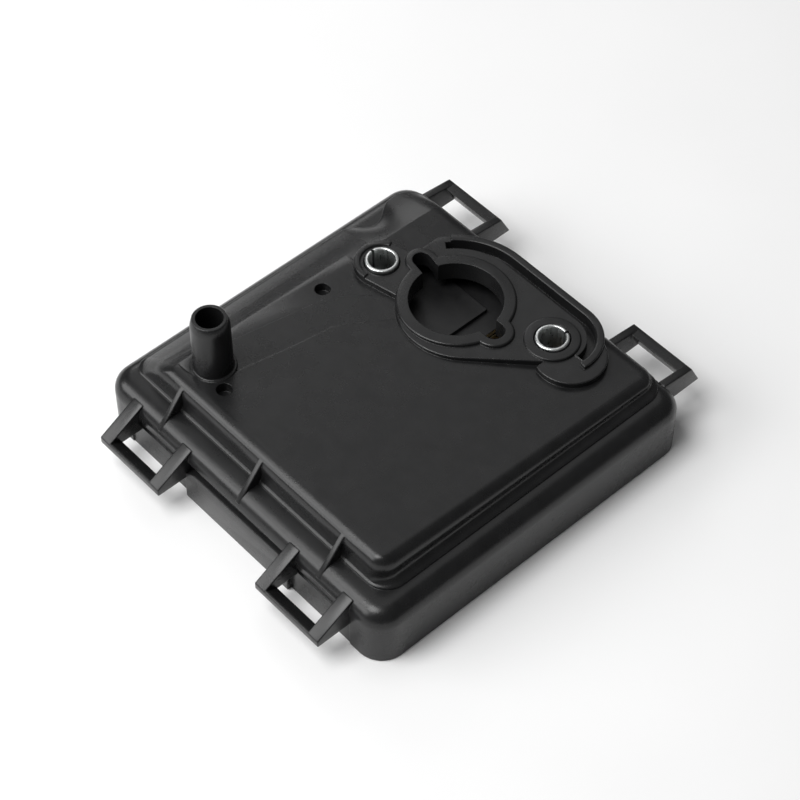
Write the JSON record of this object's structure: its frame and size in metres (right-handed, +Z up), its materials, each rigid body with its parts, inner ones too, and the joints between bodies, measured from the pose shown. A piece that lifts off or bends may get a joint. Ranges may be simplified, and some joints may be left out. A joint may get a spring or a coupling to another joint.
{
  "type": "air filter housing",
  "caption": "Moulded air filter housing of a small engine, open side down, with latch loops, a round outlet, a breather tube, steel bolt bushes and a removable pleated cartridge.",
  "frame": {"origin": "centre of the bounding box in X and Y, on the plane of the rim the housing stands on", "axes": "+Z up, out of the closed side that bolts to the carburettor; X along the two sides with the latch loops; +Y towards the side with the two bolt bushes"},
  "size_m": [0.1008, 0.1208, 0.0415],
  "materials": {
    "housing_plastic": "moulded black nylon with a fine satin texture",
    "guide_plastic": "moulded black plastic, slightly duller than the housing",
    "zinc_steel": "rolled steel, zinc plated",
    "screw_steel": "zinc-plated screw",
    "frame_urethane": "cast black urethane",
    "filter_paper": "resin-treated filter paper",
    "screen_steel": "stamped galvanised sheet",
    "foam": "open-cell foam"
  },
  "bodies": {
    "housing": {"base_housing": "housing_plastic", "bush_left": "zinc_steel", "bush_right": "zinc_steel", "air_guide": "guide_plastic", "guide_screw_1": "screw_steel", "guide_screw_2": "screw_steel", "guide_screw_3": "screw_steel", "guide_screw_4": "screw_steel"},
    "cartridge": {"element_frame": "frame_urethane", "pleated_media": "filter_paper", "dust_screen": "screen_steel", "clean_screen": "screen_steel"},
    "foam": {"foam_prefilter": "foam"}
  },
  "joints": [
    {"name": "cartridge_out", "type": "slide", "parent": "housing", "child": "cartridge", "axis": [0, 0, -1], "range_m": [0, 0.02]},
    {"name": "foam_out", "type": "slide", "parent": "cartridge", "child": "foam", "axis": [0, 0, -1], "range_m": [0, 0.02]}
  ]
}
